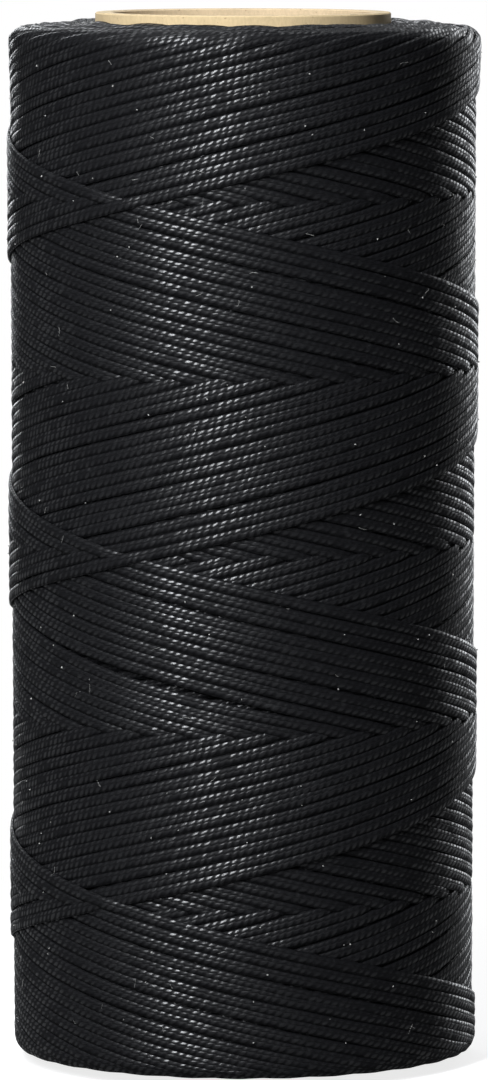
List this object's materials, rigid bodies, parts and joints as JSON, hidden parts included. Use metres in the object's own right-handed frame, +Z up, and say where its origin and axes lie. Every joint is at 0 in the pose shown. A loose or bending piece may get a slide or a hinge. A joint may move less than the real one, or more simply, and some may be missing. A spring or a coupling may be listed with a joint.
{
  "type": "waxed thread spool",
  "caption": "Tall cylinder of black waxed sewing thread, cross-wound in bands on a plain paper tube whose tan rim stands just proud at each end.",
  "frame": {"origin": "centre of the paper tube's lower end, on the tube's axis", "axes": "+Z up along the tube's axis; +Y is the back, where the thread's loose end lies; +X is to the right seen from the front"},
  "size_m": [0.0546, 0.0555, 0.122],
  "materials": {
    "liner_paper": "matte",
    "core_board": "matte",
    "face_paper": "matte",
    "waxed_thread": "waxed satin"
  },
  "bodies": {
    "root": {"core_liner_ply": "liner_paper", "core_inner_ply": "core_board", "core_middle_ply": "core_board", "core_outer_ply": "core_board", "core_face_ply": "face_paper", "thread_cover_01": "waxed_thread", "thread_cover_02": "waxed_thread", "thread_cover_03": "waxed_thread", "thread_cover_04": "waxed_thread", "thread_cover_05": "waxed_thread", "thread_cover_06": "waxed_thread", "thread_cover_07": "waxed_thread", "thread_cover_08": "waxed_thread", "thread_cover_09": "waxed_thread", "thread_cover_10": "waxed_thread", "thread_tail": "waxed_thread"}
  },
  "joints": []
}
